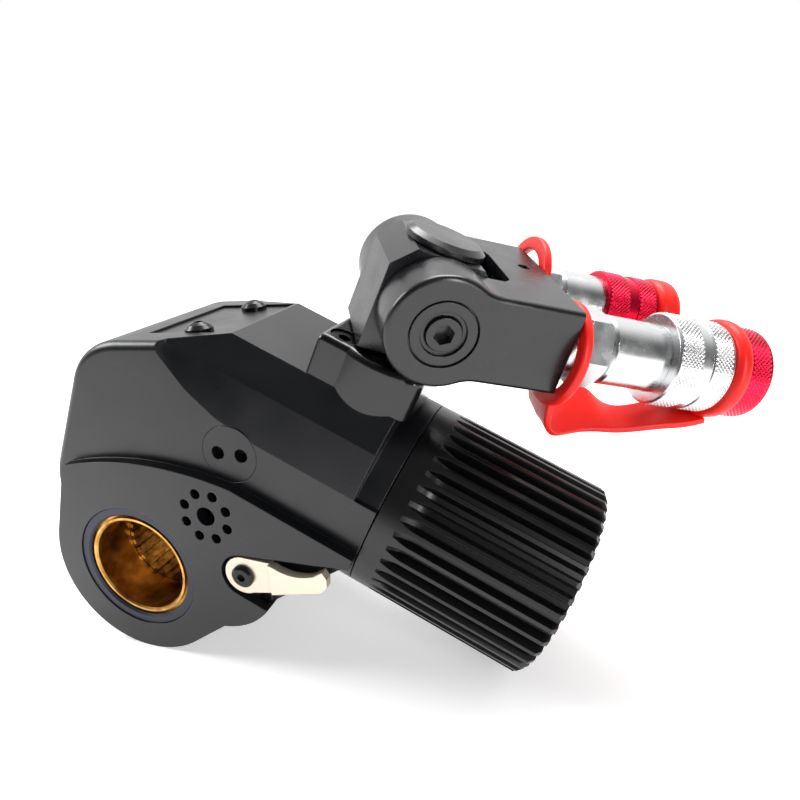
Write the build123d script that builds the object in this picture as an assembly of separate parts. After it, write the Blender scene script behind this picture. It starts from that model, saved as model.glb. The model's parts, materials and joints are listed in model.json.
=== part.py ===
from build123d import *
import os
from math import asin, atan2, cos, degrees, hypot, radians, sin, sqrt, tan

# A hydraulic torque wrench: a steel head with a splined drive bore, a ribbed cylinder,
# a double swivel on top of it and two hose couplers with dust caps.
# Sizes are millimetres. Each piece is made in the wrench's own frame, with its origin on the
# drive axis at mid width, X along the cylinder to its free end, Y along the drive axis and
# Z up to the swivel. At the end every piece is turned to the attitude in which the wrench rests.

# How far the swivel is turned and the yoke is tipped back
swivel_turn = 30.1
yoke_pitch = 7.1

# Head
nose_r = 33.0
cheek_half = 37.0
core_half = 33.0
head_back = -42.0
head_back_corner_r = 22.0
cheek_back = -36.0
cheek_back_z = 23.0
ledge_z = 49.5
ledge_start = 23.0
ledge_rise = 4.5
head_top = 90.4
crease_x = 2.4
crease_half = 22.2
slope_angle = 27.7
facet_end = 59.0
facet_break_half = 29.2
facet_break_z = 80.9
ridge_z = 66.0
ridge_start = 24.0
ridge_runout_r = 66.0
plan_round = 3.0
chin = [(36.7, -2.1), (46.6, 8.5), (48.9, 16.3)]
brow = (67.0, 45.9)
underside_z = 23.0
underside_half = 23.0

# Cylinder
cyl_z = 55.0
barrel_r = 33.0
barrel_start = 67.0
barrel_end = 127.6
parting_gap = 0.4
collar_r = 33.0
piston_r = 21.0
rib_count = 40
rib_phase = 3.4
rib_band = 6.6
groove_depth = 3.2
groove_top = 3.9
groove_floor = 1.7
groove_runout_r = 8.0
rim_chamfer = 1.6
thread_r = 25.0
end_wall = 7.0
end_recess = 3.0
end_cap_r = 25.0
spanner_hole_r = 2.2

# Drive
bush_r = 21.0
bush_bore_r = 17.3
bush_in = 19.6
bush_out = cheek_half - 1.0
ring_r = 22.8
ring_bore_r = 19.7
ring_seat_r = 23.0
ring_thick = 2.2
ring_recess = 0.4
teeth = 30
ratchet_r = 27.4
ratchet_root_r = 25.6
ratchet_half = 9.0
hub_half = 19.4
ratchet_hub_r = 20.6
spline_count = 30
spline_tip_r = 15.8
spline_root_r = 17.1
spline_land = 1.35
running = 0.05
side_gap = 0.3

# Crank plates, rod and piston
plate_in = 9.3
plate_out = 16.6
plate_ring_r = 28.6
plate_arm_half = 10.5
pin_r = 5.0
pin_x = 16.3
slot_gap = 0.35
plate_tip = 67.0
rod_r = 10.0
eye_half = 8.8
eye_r = 9.0
piston_len = 16.0
piston_back = 117.0
seal_width = 3.2
seal_depth = 2.6
gland_in = 57.0
gland_out = 68.5
chamber_half = 17.4
chamber_gap = 0.9

# Drive pawl between the plates
eye_gap = 1.7
pawl_back = 3.5
pawl_front = 6.5
pawl_shoulder_r = 30.5
pawl_lift = 2.4
pawl_spring_r = 2.2
bridge_thick = 3.2
tooth_gap = 0.18
tooth_lean = 1.5
tooth_land = 0.12
strut_backlash = 3.6

# Release lever and reaction pawl
lever_x = 36.6
lever_z = 21.7
lever_hub_r = 7.0
lever_eye_r = 3.9
lever_face = cheek_half - 0.6
lever_thick = 3.0
lever_step = 1.3
lever_bend = [(6.4, 9.9), (11.4, 0.2)]
lever_scoop = [(8.2, 10.2), (15.0, 11.2)]
lever_tip = [(21.2, 15.2), (23.2, 18.4), (25.4, 17.0), (26.6, 14.2), (25.6, 11.2)]
shaft_r = 3.6
pocket_floor = cheek_half - 4.2
pocket_gap = 0.8
pocket_lean = 26.5
lever_swing = 7.3
strut_hub_r = 6.4
strut_room = 12.0
detent_r = 2.6
detent_depth = 8.0
detent_x = 45.2
detent_z = 15.6
detent_rise = 0.4

# Holes on the near cheek
vent_x = 18.4
vent_z = 35.7
vent_pcd_r = 8.1
vent_phase = 134.6
vent_hole_r = 1.75
vent_centre_r = 3.3
vent_depth = 6.0
plug_x = 17.9
plug_z = 58.4
plug_r = 9.5
plug_spacing = 8.1
plug_tilt = 23.0
plug_thick = 6.0

# Shroud plate on the slope
shroud_half = 21.6
shroud_thick = 2.6
shroud_sink = 0.8
shroud_down = 1.2
shroud_len = 30.0
shroud_screw_r = 4.5
shroud_screw_high = 3.2
shroud_screw_up = 15.4
shroud_screw_y = 16.9

# Swivel base and post
post_x = 47.5
base_half = 22.2
base_back = 28.0
base_front = 62.0
base_top = 104.0
base_corner_r = 4.0
boss_r = 24.1
boss_drop = 3.2
base_edge_r = 2.0
base_screw_r = 4.2
base_screw_in = 6.2
post_r = 10.0
post_foot_r = 11.6
post_foot = 3.2

# Swivel hub, a cap on the post and the yoke
pivot_z = 121.2
hub_side = 13.7
hub_back = 17.0
hub_front = 15.0
hub_low = 16.4
hub_high = 15.9
hub_bevel = 6.2
cap_r = 12.4
cap_thick = 3.2
cap_edge = 1.9
cheek_r = 16.4
yoke_half = 28.8
yoke_rear = 37.8
yoke_thick = 13.0
yoke_blend_r = 12.0
yoke_edge_r = 1.6
slot_half = 14.0
slot_end = 20.5
slot_corner_r = 4.0
swing_r = 22.4
pivot_r = 9.9
pivot_head_r = 9.3
pivot_boss_r = 5.4
pivot_key = 5.2
grub_x = 30.8
grub_y = 4.7
grub_r = 2.0

# Hose couplers on the yoke's rear face
coupler_y = 19.4
nut_across = 21.0
nut_len = 8.0
neck_r = 8.2
neck_len = 4.0
body_r = 10.4
near_collar_r = 14.4
near_collar_start = 32.0
near_collar_len = 19.6
far_collar_r = 12.8
far_collar_start = 29.0
far_collar_len = 19.6
far_cap_r = 13.6
far_cap_len = 9.0
flange_r = 15.6
flange_len = 5.4
near_cap_r = 14.4
near_cap_len = 8.4
socket_r = 7.0
socket_len = 9.0

# Dust cap straps
strap_thick = 2.4
strap_width = 8.0
loop_r = 15.0
loop_bore_r = 11.0
loop_drop = 2.4
loop_gap = 0.4
strap_clear = 0.35

origin = Vector(0, 0, 0)
low = (Align.CENTER, Align.CENTER, Align.MIN)
corner = (Align.MIN, Align.MIN, Align.MIN)


def rod(radius, start, end):
    """A round bar between two points."""
    start = Vector(start)
    run = Vector(end) - start
    return Plane(start, z_dir=run) * Cylinder(radius, run.length, align=low)


def tube(outer, inner, start, end):
    return rod(outer, start, end) - rod(inner, start, end)


def turned(profile, start, along):
    """A turned piece from (distance along, radius) points, its axis from start."""
    face = make_face(Polyline(*[(radius, far) for far, radius in profile], close=True))
    return Plane(Vector(start), z_dir=Vector(along)) * revolve(Plane.XZ * face, Axis.Z)


def slab(face, y_low, y_high):
    """A flat (x, z) face given its thickness between two y values."""
    return extrude(Plane.XZ.offset(-y_high) * face, amount=y_high - y_low)


def polygon(points):
    return make_face(Polyline(*points, close=True))


def polar(radius, angle):
    return (radius * cos(radians(angle)), radius * sin(radians(angle)))


def both_sides(shape):
    return shape + mirror(shape, Plane.XZ)


def pair(shape):
    """A piece of the near side with its twin on the far side, as separate solids."""
    return Compound([shape, mirror(shape, Plane.XZ)])


def tangent_point(x, z, radius, side):
    """Where a line from (x, z) touches a circle about the drive axis."""
    spread = degrees(asin(sqrt(1 - (radius / hypot(x, z)) ** 2)))
    return polar(radius, degrees(atan2(z, x)) + side * spread)


# Head housing: a full-width core, a raised cheek on each side and a round collar

slope_rise = tan(radians(slope_angle))


def slope_z(x):
    """Height of the sloping top, which starts at the crease and falls towards the nose."""
    return head_top - slope_rise * (crease_x - x)


def core():
    back_foot = (head_back, cheek_back_z)
    outline = polygon([
        back_foot,
        (head_back, slope_z(head_back)),
        (crease_x, head_top),
        (facet_end, head_top),
        (facet_end, underside_z),
        (chin[2][0], underside_z),
        chin[1],
        (0, 0),
        tangent_point(*back_foot, nose_r, 1),
    ])
    back_corner = outline.vertices().filter_by(lambda v: abs(v.Y - slope_z(head_back)) < 0.01)
    outline = fillet(back_corner, head_back_corner_r)
    body = slab(outline, -core_half, core_half)
    rim = body.edges().filter_by(lambda e: abs(abs(e.center().Y) - core_half) < 0.01)
    rim = rim.filter_by(lambda e: e.center().X < crease_x and e.center().Z > cheek_back_z)
    body = fillet(rim, plan_round)
    body -= both_sides(facet_waste())
    under = Box(facet_end - chin[1][0], core_half, cyl_z - underside_z, align=corner)
    body -= both_sides(Pos(chin[1][0], -core_half - underside_half, chin[0][1]) * under)
    return body


def facet_waste():
    """What the two facets take off the near top corner, ending in a rising curve."""
    def section(x):
        if x > ridge_start:
            edge = ridge_z
        else:
            edge = ridge_z + ridge_runout_r - sqrt(ridge_runout_r ** 2 - (ridge_start - x) ** 2)
        corners = [
            (-core_half, edge),
            (-facet_break_half, max(facet_break_z, edge + 1)),
            (-crease_half, head_top),
            (-crease_half, head_top + 9),
            (-core_half - 9, head_top + 9),
            (-core_half - 9, edge),
        ]
        return Plane.YZ.offset(x) * polygon(corners)

    stations = [facet_end + 1, ridge_start, 10.0, -2.0, -14.0, -26.0]
    pieces = [loft([section(a), section(b)], ruled=True) for a, b in zip(stations, stations[1:])]
    waste = pieces[0]
    for piece in pieces[1:]:
        waste += piece
    return waste


def cheek():
    """The raised cheeks of the lower head, from one face to the other."""
    touch = tangent_point(cheek_back, cheek_back_z, nose_r, 1)
    chin_touch = tangent_point(*chin[0], nose_r, -1)
    bottom = nose_r * Vector(cos(radians(-100)), sin(radians(-100)))
    rise = Vector(ledge_start + cheek_back, ledge_z + cheek_back_z) * 0.5
    crest = rise + Vector(cheek_back_z - ledge_z, ledge_start - cheek_back).normalized() * ledge_rise
    outline = [
        Line((cheek_back, cheek_back_z), touch),
        ThreePointArc(touch, bottom, chin_touch),
        Line(chin_touch, chin[0]),
        Spline(chin[0], chin[1], chin[2]),
        Line(chin[2], brow),
        Line(brow, (brow[0], ledge_z)),
        Line((brow[0], ledge_z), (ledge_start, ledge_z)),
        ThreePointArc((ledge_start, ledge_z), crest, (cheek_back, cheek_back_z)),
    ]
    return slab(make_face(Wire(outline)), -cheek_half, cheek_half)


def pocket():
    """The recess on the near cheek in which the release lever swings."""
    reach = lever_hub_r + pocket_gap
    lean = radians(pocket_lean)
    top_touch = Vector(lever_x, lever_z) + Vector(-sin(lean), cos(lean)) * reach
    outline = polygon([
        top_touch,
        brow,
        (barrel_end, brow[1]),
        (barrel_end, -nose_r),
        (chin[2][0], -nose_r),
        (chin[2][0], lever_z - reach),
        (lever_x, lever_z - reach),
    ])
    face = -cheek_half - 1
    hollow = slab(outline, face, -pocket_floor)
    return hollow + rod(reach, (lever_x, face, lever_z), (lever_x, -pocket_floor, lever_z))


def chamber():
    """The space inside the head for the ratchet, the crank plates, the pawls and the rod."""
    reach = plate_ring_r + chamber_gap
    space = rod(reach, (0, -chamber_half, 0), (0, chamber_half, 0))
    swing_back = -plate_tip * sin(radians(stroke_angle() - rest_angle())) - plate_arm_half
    swing_front = plate_tip * sin(radians(rest_angle())) + plate_arm_half
    fan = polygon([
        (-plate_ring_r + 6, 0),
        (swing_back - 1.5, cyl_z - 12),
        (swing_back - 1.5, plate_tip + 1.2),
        (swing_front + 1.5, plate_tip + 1.2),
        (swing_front + 1.5, cyl_z - 12),
        (plate_ring_r - 3, 0),
    ])
    space += slab(fan, -chamber_half, chamber_half)
    nest = polygon([
        (5, 10),
        (lever_x, lever_z - strut_hub_r - 1),
        (lever_x + strut_hub_r, lever_z),
        (lever_x, lever_z + strut_room),
        (10, lever_z + strut_room),
    ])
    side = ratchet_half + 2
    space += slab(nest, -side, side)
    space += rod(strut_hub_r + chamber_gap, (lever_x, -side, lever_z), (lever_x, side, lever_z))
    space += rod(rod_r + 3, (swing_front - 4, 0, cyl_z), (gland_in, 0, cyl_z))
    return space


def rest_angle():
    """How far the crank leans towards the cylinder with the piston drawn in."""
    return degrees(atan2(pin_x, cyl_z))


def stroke_angle():
    """The crank's whole swing, two teeth of the ratchet."""
    return 2 * 360.0 / teeth


def vent_holes():
    """A ring of small blind holes about a larger one, on the near cheek."""
    face = -cheek_half
    holes = rod(vent_centre_r, (vent_x, face - 1, vent_z), (vent_x, face + vent_depth, vent_z))
    for turn in range(8):
        x, z = polar(vent_pcd_r, vent_phase + 45 * turn)
        x += vent_x
        z += vent_z
        holes += rod(vent_hole_r, (x, face - 1, z), (x, face + vent_depth, z))
    return holes


def head_housing():
    body = core() + cheek()
    body += rod(collar_r, (facet_end - 12, 0, cyl_z), (barrel_start - parting_gap, 0, cyl_z))
    flank = Box(barrel_start - parting_gap - facet_end, core_half, ridge_z - ledge_z, align=corner)
    body += both_sides(Pos(facet_end, 0, ledge_z) * flank)
    beyond = Box(barrel_end, 2 * cheek_half, 2 * head_top, align=corner)
    body -= Pos(barrel_start - parting_gap, -cheek_half, -nose_r) * beyond
    body -= pocket()
    body -= chamber()
    body -= rod(thread_r + 0.05, (gland_in, 0, cyl_z), (barrel_start + 5, 0, cyl_z))
    for side in (-1, 1):
        face = side * cheek_half
        seat = face - side * (ring_thick + ring_recess)
        body -= rod(bush_r, (0, side * (chamber_half - 1), 0), (0, face, 0))
        body -= rod(ring_seat_r, (0, seat, 0), (0, face + side, 0))
    bore = shaft_r + running
    body -= rod(bore, (lever_x, -cheek_half, lever_z), (lever_x, chamber_half + 8, lever_z))
    body -= vent_holes()
    plug_seat = -core_half + plug_thick
    body -= both_sides(rod(plug_r, (plug_x, -core_half - 1, plug_z), (plug_x, plug_seat, plug_z)))
    body -= both_sides(rod(pin_r + 2, (plug_x, plug_seat, plug_z), (plug_x, 0, plug_z)))
    body -= shroud_seat(0)
    detent_end = -pocket_floor + detent_depth
    body -= rod(detent_r, (detent_x, -pocket_floor - 1, detent_z), (detent_x, detent_end, detent_z))
    body -= rod(post_foot_r, (post_x, 0, head_top - post_foot), (post_x, 0, head_top + 1))
    return body


def shroud_seat(gap):
    """The shroud plate's own space, laid on the slope."""
    size = (shroud_len - gap, 2 * (shroud_half - gap), shroud_thick - shroud_sink + 1)
    plate = Box(*size, align=(Align.MAX, Align.CENTER, Align.MIN))
    return slope_place() * Pos(0, 0, -shroud_thick) * plate


def slope_place():
    """A frame on the slope just below its crease, with X up the slope and Z out of it."""
    x = crease_x - shroud_down
    return Pos(x, 0, slope_z(x)) * Rot(0, -slope_angle, 0)


def shroud_plate():
    size = (shroud_len - 0.1, 2 * (shroud_half - 0.1), shroud_thick - shroud_sink)
    plate = Box(*size, align=(Align.MAX, Align.CENTER, Align.MIN))
    return slope_place() * Pos(0, 0, -shroud_thick) * plate


def shroud_screws():
    """Two button head screws that hold the shroud plate."""
    outer = shroud_screw_r
    high = shroud_screw_high
    dome = [(high * 0.4, outer), (high * 0.78, outer * 0.72), (high, outer * 0.4), (high, 0)]
    head = turned([(0, 0), (0, outer), *dome], origin, (0, 0, 1))
    head -= Pos(0, 0, high - 1.6) * extrude(RegularPolygon(outer * 0.36, 6), amount=2.0)
    near = slope_place() * Pos(shroud_down - shroud_screw_up, -shroud_screw_y, -shroud_sink) * head
    return pair(near)


# Drive train


def bush(side):
    inner = Vector(0, side * bush_in, 0)
    profile = [
        (0, bush_bore_r), (0, bush_r),
        (cheek_half - ring_thick - ring_recess - bush_in, bush_r),
        (cheek_half - ring_thick - ring_recess - bush_in, bush_bore_r + 1.3),
        (bush_out - bush_in, bush_bore_r + 1.3),
        (bush_out - bush_in, bush_bore_r + 0.5),
        (bush_out - bush_in - 0.5, bush_bore_r),
    ]
    return turned(profile, inner, (0, side, 0))


def bush_ring(side):
    start = Vector(0, side * (cheek_half - ring_thick - ring_recess), 0)
    profile = [
        (0, ring_bore_r), (0, ring_r), (ring_thick, ring_r), (ring_thick, ring_bore_r + 0.6),
        (ring_thick - 0.6, ring_bore_r),
    ]
    return turned(profile, start, (0, side, 0))


def toothed(count, tip, root, phase, lean):
    """A saw-toothed outline about the drive axis. Each tooth is steep on its leading side."""
    points = []
    pitch = 360.0 / count
    for n in range(count):
        start = phase + n * pitch
        points.append(polar(root, start))
        points.append(polar(tip, start + lean))
        points.append(polar(tip, start + lean + pitch * tooth_land))
    return polygon(points)


def spline_hole():
    """The outline of the drive spline's hole: a circle with a groove between each two lands."""
    pitch = 360.0 / spline_count
    land = degrees(spline_land / spline_tip_r) / 2
    hole = Circle(spline_tip_r)
    for n in range(spline_count):
        start = n * pitch + land
        end = (n + 1) * pitch - land
        hole += polygon([
            polar(spline_tip_r - 0.5, start),
            polar(spline_root_r, start + land * 0.25),
            polar(spline_root_r, end - land * 0.25),
            polar(spline_tip_r - 0.5, end),
        ])
    return hole


def ratchet():
    wheel = toothed(teeth, ratchet_r, ratchet_root_r, 90 - rest_angle(), tooth_lean)
    body = slab(wheel, -ratchet_half, ratchet_half)
    body += rod(ratchet_hub_r, (0, -hub_half, 0), (0, hub_half, 0))
    return body - slab(spline_hole(), -hub_half - 1, hub_half + 1)


def crank_turned(shape, angle):
    """Turn a crank piece about the drive axis, towards the cylinder for a positive angle."""
    return shape.rotate(Axis.Y, angle)


def drive_plate(side):
    """One crank plate, drawn upright and then leant to where the rod holds it at rest."""
    neck = polygon([
        (-plate_arm_half, plate_ring_r - 6),
        (-plate_arm_half, plate_tip - 4),
        (-plate_arm_half + 4, plate_tip),
        (plate_arm_half - 4, plate_tip),
        (plate_arm_half, plate_tip - 4),
        (plate_arm_half, plate_ring_r - 6),
    ])
    y_low, y_high = sorted((side * plate_in, side * plate_out))
    body = slab(neck, y_low, y_high) + rod(plate_ring_r, (0, y_low, 0), (0, y_high, 0))
    body -= rod(ratchet_hub_r + running, (0, y_low - 1, 0), (0, y_high + 1, 0))
    reach = hypot(pin_x, cyl_z)
    slot_low = cyl_z - pin_r - slot_gap
    slot_high = reach + pin_r + slot_gap
    slot = SlotOverall(slot_high - slot_low, 2 * (pin_r + slot_gap), rotation=90)
    body -= slab(Pos(0, (slot_low + slot_high) / 2) * slot, y_low - 1, y_high + 1)
    return crank_turned(body, rest_angle())


def bridge_low():
    """The bridge's underside, with the bridge just clear of the rod's eye at mid stroke."""
    return cyl_z - eye_r - eye_gap - bridge_thick


def pawl_top():
    """The drive pawl's top, which clears the bridge when the pawl lifts."""
    return bridge_low() - side_gap - pawl_lift


def pawl_bridge():
    """The spacer between the crank plates that backs the drive pawl's spring."""
    block = Box(2 * plate_arm_half - 2, 2 * plate_in, bridge_thick, align=low)
    return crank_turned(Pos(0, 0, bridge_low()) * block, rest_angle())


def tooth_bite(angle, slack):
    """Three corners of a pawl's tip that stands short of a tooth's steep face by the slack."""
    pitch = 360.0 / teeth
    ramp = (ratchet_r - ratchet_root_r) / (pitch * (1 - tooth_land) - tooth_lean)
    foot = polar(ratchet_root_r + ramp * slack + tooth_gap, angle - slack)
    face_top = polar(ratchet_r + tooth_gap, angle + tooth_lean - slack)
    back_top = polar(ratchet_r + tooth_gap + 0.1, angle + tooth_lean + pitch * (tooth_land - 1))
    return foot, face_top, back_top


def drive_pawl():
    foot, face_top, back_top = tooth_bite(90, degrees(tooth_gap / ratchet_root_r))
    outline = polygon([
        foot,
        back_top,
        (pawl_front, pawl_shoulder_r),
        (pawl_front, pawl_top()),
        (-pawl_back, pawl_top()),
        (-pawl_back, pawl_shoulder_r - 1.5),
        face_top,
    ])
    body = slab(outline, -ratchet_half, ratchet_half)
    x = pawl_middle()
    for y in (-ratchet_half / 2, ratchet_half / 2):
        body -= rod(pawl_spring_r + 0.2, (x, y, pawl_top() - 5), (x, y, pawl_top() + 1))
    return crank_turned(body, rest_angle())


def pawl_middle():
    return (pawl_front - pawl_back) / 2


def pawl_springs():
    springs = []
    for y in (-ratchet_half / 2, ratchet_half / 2):
        foot = (pawl_middle(), y, pawl_top() - 5)
        top = (pawl_middle(), y, bridge_low())
        springs.append(tube(pawl_spring_r, pawl_spring_r - 0.7, foot, top))
    return crank_turned(Compound(springs), rest_angle())


def piston_front():
    return piston_back - piston_len


def piston():
    body = rod(piston_r - running, (piston_front(), 0, cyl_z), (piston_back, 0, cyl_z))
    groove = piston_front() + (piston_len - seal_width) / 2
    groove_end = groove + seal_width
    floor_r = piston_r - seal_depth
    return body - tube(piston_r + 1, floor_r, (groove, 0, cyl_z), (groove_end, 0, cyl_z))


def piston_seal():
    start = piston_front() + (piston_len - seal_width) / 2 + 0.1
    end = start + seal_width - 0.2
    return tube(piston_r - 0.02, piston_r - seal_depth + 0.05, (start, 0, cyl_z), (end, 0, cyl_z))


def piston_rod():
    """The rod, which narrows to an eye between the crank plates."""
    neck_x = (plate_tip * sin(radians(rest_angle())) + plate_arm_half) + 1.5
    body = rod(rod_r, (neck_x, 0, cyl_z), (piston_front(), 0, cyl_z))
    flat = Box(neck_x - pin_x + 3, 2 * eye_half, 2 * eye_r, align=(Align.MIN, Align.CENTER, Align.CENTER))
    body += Pos(pin_x, 0, cyl_z) * flat
    body += rod(eye_r, (pin_x, -eye_half, cyl_z), (pin_x, eye_half, cyl_z))
    return body - rod(pin_r, (pin_x, -eye_half - 1, cyl_z), (pin_x, eye_half + 1, cyl_z))


def rod_pin():
    return rod(pin_r, (pin_x, -plate_out, cyl_z), (pin_x, plate_out, cyl_z))


# Cylinder


def rod_gland():
    return tube(piston_r - 0.02, rod_r + running, (gland_in + 0.2, 0, cyl_z), (gland_out, 0, cyl_z))


def groove_cutter():
    """The form of one groove: level to the rim, and lifting out of the barrel at its inner end."""
    floor_r = barrel_r - groove_depth
    section = polygon([
        (-groove_floor / 2, floor_r),
        (groove_floor / 2, floor_r),
        (groove_top / 2 + 0.35, barrel_r + 1),
        (-groove_top / 2 - 0.35, barrel_r + 1),
    ])
    runout = sqrt(groove_runout_r ** 2 - (groove_runout_r - groove_depth) ** 2)
    level_from = barrel_start + rib_band + runout
    level = extrude(Plane.YZ.offset(level_from) * section, amount=barrel_end + 5 - level_from)
    lift = Axis((level_from, 0, floor_r + groove_runout_r), (0, -1, 0))
    swing = revolve(Plane.YZ.offset(level_from) * section, lift, revolution_arc=-60)
    return level + swing


def barrel():
    """The ribbed cylinder, with its thread spigot, its piston bore and a seat for the end cap."""
    body = rod(barrel_r, (barrel_start, 0, 0), (barrel_end, 0, 0))
    body = chamfer(body.edges().group_by(Axis.X)[-1], rim_chamfer)
    cutter = groove_cutter()
    body -= [cutter.rotate(Axis.X, n * 360.0 / rib_count - rib_phase) for n in range(rib_count)]
    body += rod(thread_r - 0.02, (gland_in + 0.2, 0, 0), (barrel_start + 1, 0, 0))
    body -= rod(piston_r, (gland_in, 0, 0), (barrel_end + 1, 0, 0))
    body -= rod(end_cap_r, (barrel_end - end_recess - end_wall, 0, 0), (barrel_end + 1, 0, 0))
    return Pos(0, 0, cyl_z) * body


def end_cap():
    start = barrel_end - end_recess - end_wall
    body = rod(end_cap_r - 0.02, (start, 0, cyl_z), (start + end_wall, 0, cyl_z))
    body = chamfer(body.edges().group_by(Axis.X)[-1], 0.8)
    for side in (-1, 1):
        y = side * end_cap_r * 0.6
        body -= rod(spanner_hole_r, (start + end_wall - 4, y, cyl_z), (start + end_wall + 1, y, cyl_z))
    return body


# Release lever with its shaft and the reaction pawl


def release_lever():
    """A flat eye on the shaft and an arm that steps out of the pocket, with a scooped thumb edge."""
    centre = Pos(lever_x, lever_z)
    eye = centre * Circle(lever_hub_r - 0.3)
    web = centre * polygon([(-2.6, 6.1), lever_bend[0], lever_bend[1], (2.6, -6.1)])
    arm_edge = Polyline(*lever_tip, lever_bend[1], lever_bend[0], lever_scoop[0])
    scoop = ThreePointArc(arm_edge @ 1, lever_scoop[1], arm_edge @ 0)
    inner = -lever_face + lever_thick
    body = slab(eye + web, -lever_face, inner)
    arm = centre * make_face(arm_edge + scoop)
    body += slab(arm, -lever_face - lever_step, inner - lever_step)
    return body - rod(shaft_r + 0.02, (lever_x, -cheek_half - 3, lever_z), (lever_x, 0, lever_z))


def pawl_shaft():
    return rod(shaft_r, (lever_x, -lever_face, lever_z), (lever_x, chamber_half + 7.5, lever_z))


def lever_screw():
    start = (lever_x, -lever_face, lever_z)
    profile = [(0, 0), (0, lever_eye_r), (0.9, lever_eye_r), (1.6, lever_eye_r - 0.9), (1.6, 0)]
    key = Plane((lever_x, -lever_face - 0.4, lever_z), z_dir=(0, -1, 0)) * RegularPolygon(1.5, 6)
    return turned(profile, start, (0, -1, 0)) - extrude(key, amount=3)


def reaction_pawl():
    """A strut from the lever's shaft to the ratchet, drawn in mesh and then let out to rest."""
    tooth = 90 - rest_angle() - 2 * 360.0 / teeth
    foot, face_top, back_top = tooth_bite(tooth, strut_backlash)
    outline = polygon([
        foot,
        back_top,
        (lever_x + 0.5, lever_z - strut_hub_r + 0.4),
        (lever_x - 1.0, lever_z + strut_hub_r - 0.6),
        face_top,
    ])
    side = ratchet_half - side_gap
    body = slab(outline, -side, side)
    body += rod(strut_hub_r, (lever_x, -side, lever_z), (lever_x, side, lever_z))
    body -= rod(shaft_r + running, (lever_x, -cheek_half, lever_z), (lever_x, cheek_half, lever_z))
    return body.rotate(Axis((lever_x, 0, lever_z), (0, 1, 0)), lever_swing)


def detent_plunger():
    start = (detent_x, -pocket_floor + detent_depth, detent_z)
    shank = detent_r - 0.02
    end = detent_depth + detent_rise
    profile = [(0, 0), (0, shank), (detent_depth, shank), (end, shank - 0.6), (end, 0)]
    return turned(profile, start, (0, -1, 0))


# Plugs over the rod pin


def pin_plug():
    start = (plug_x, -core_half + plug_thick, plug_z)
    body = rod(plug_r - 0.1, start, (plug_x, -core_half, plug_z))
    for side in (-1, 1):
        x, z = polar(plug_spacing / 2, plug_tilt)
        hole = (plug_x + side * x, -core_half - 1, plug_z + side * z)
        body -= rod(spanner_hole_r, hole, (hole[0], -core_half + 3.5, hole[2]))
    return body


# Swivel base, post and cap


def base_screw_places():
    back = base_back + base_screw_in
    front = base_front - base_screw_in - 1.6
    return [(back, base_half - base_screw_in), (front, base_half - base_screw_in - 2.2)]


def base_plan():
    """The base's outline from above: a plate with a round boss about the post that bulges past it."""
    length = base_front - base_back
    middle = base_back + length / 2
    plan = Pos(middle, 0) * Rectangle(length, 2 * base_half)
    plan = fillet(plan.vertices().group_by(Axis.X)[-1], base_corner_r)
    plan = fillet(plan.vertices().group_by(Axis.X)[0], 1.5)
    boss = Pos(post_x, 0) * Circle(boss_r)
    return plan + (boss & Pos(middle, 0) * Rectangle(length - 8, 2 * boss_r))


def swivel_base():
    body = extrude(Plane.XY.offset(head_top) * base_plan(), amount=base_top - head_top)
    body = fillet(body.edges().group_by(Axis.Z)[-1], base_edge_r)
    skirt = extrude(Plane.XY.offset(head_top - boss_drop) * base_plan(), amount=boss_drop)
    skirt &= rod(boss_r, (post_x, 0, 0), (post_x, 0, base_top))
    skirt -= core()
    skirt &= Pos(base_back, -boss_r, cyl_z) * Box(facet_end - base_back, 2 * boss_r, cyl_z, align=corner)
    body += skirt
    body -= rod(post_r, (post_x, 0, head_top - 1), (post_x, 0, base_top + 1))
    for x, y in base_screw_places():
        body -= both_sides(rod(base_screw_r + 0.4, (x, -y, base_top - 5), (x, -y, base_top + 1)))
    return body


def base_screws():
    screws = []
    for x, y in base_screw_places():
        head = rod(base_screw_r, (x, -y, base_top - 5), (x, -y, base_top - 0.6))
        head -= Plane((x, -y, base_top - 3)) * extrude(RegularPolygon(2.2, 6), amount=4)
        screws += [head, mirror(head, Plane.XZ)]
    return Compound(screws)


def post():
    """The swivel post, with a wide foot let into the head."""
    height = pivot_z + hub_high - head_top + post_foot
    foot = post_foot - 0.1
    foot_r = post_foot_r - 0.1
    shank = post_r - 0.02
    profile = [(0, 0), (0, foot_r), (foot, foot_r), (foot, shank), (height, shank), (height, 0)]
    return turned(profile, (post_x, 0, head_top - post_foot), (0, 0, 1))


def post_cap():
    shoulder = cap_thick - cap_edge * 0.7
    top_r = cap_r - cap_edge
    profile = [(side_gap, 0), (side_gap, cap_r), (shoulder, cap_r), (cap_thick, top_r), (cap_thick, 0)]
    return turned(profile, (post_x, 0, pivot_z + hub_high), (0, 0, 1))


# Swivel hub, in a frame with its origin at the pivot and X towards the couplers

hub_place = Pos(post_x, 0, pivot_z) * Rot(0, 0, swivel_turn)
yoke_place = hub_place * Rot(0, -yoke_pitch, 0)


def swivel_hub():
    outline = polygon([
        (-hub_back, -hub_low),
        (-hub_back, hub_high - hub_bevel),
        (-hub_back + hub_bevel, hub_high),
        (hub_front - hub_bevel + 1, hub_high),
        (hub_front, hub_high - hub_bevel + 1),
        (hub_front, -hub_low),
    ])
    body = slab(outline, -hub_side, hub_side)
    return body - rod(post_r + running - 0.02, (0, 0, -40), (0, 0, 40))


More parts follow.
